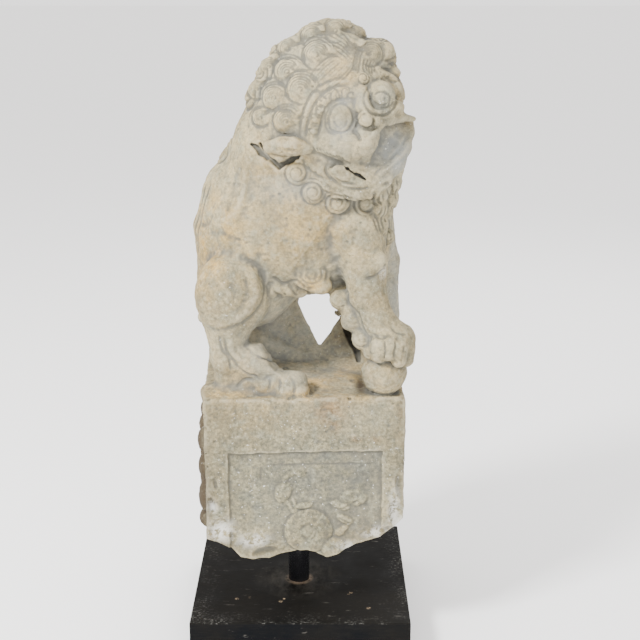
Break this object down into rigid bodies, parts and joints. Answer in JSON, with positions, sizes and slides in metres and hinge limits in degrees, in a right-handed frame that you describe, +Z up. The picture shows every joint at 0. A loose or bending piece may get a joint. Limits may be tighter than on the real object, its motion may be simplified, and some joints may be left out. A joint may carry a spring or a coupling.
{
  "type": "stone guardian lion on stand",
  "caption": "Carved stone guardian lion on a square plinth with a forepaw on a ball, resting on a round steel post over a square painted timber base.",
  "frame": {"origin": "centre of the square base's footprint, at the undersides of the rubber feet", "axes": "+Z up, +X the way the lion's body points, -Y the side that its head turns to"},
  "size_m": [0.254, 0.254, 0.7139],
  "materials": {
    "carved_stone": "weathered, matt",
    "liner_plastic": "smooth",
    "pad_rubber": "matt",
    "post_black": "satin black",
    "plate_steel": "satin black",
    "screw_steel": "zinc plated",
    "base_black": "black paint, scuffed and dusty",
    "foot_rubber": "matt"
  },
  "bodies": {
    "base": {"base_block": "base_black", "support_post": "post_black", "post_cap": "post_black", "post_plate": "plate_steel", "plate_screws": "screw_steel", "foot_front_left": "foot_rubber", "foot_front_right": "foot_rubber", "foot_back_left": "foot_rubber", "foot_back_right": "foot_rubber", "foot_screws": "screw_steel"},
    "pad": {"bearing_pad": "pad_rubber"},
    "stone": {"stone_lion": "carved_stone", "bore_sleeve": "liner_plastic"}
  },
  "joints": [
    {"name": "stone_turn", "type": "hinge", "parent": "base", "child": "pad", "pos_m": [-0.003, -0.016, 0.243], "axis": [0, 0, 1], "continuous": true},
    {"name": "stone_lift", "type": "slide", "parent": "pad", "child": "stone", "axis": [0, 0, 1], "range_m": [0, 0.15]}
  ]
}
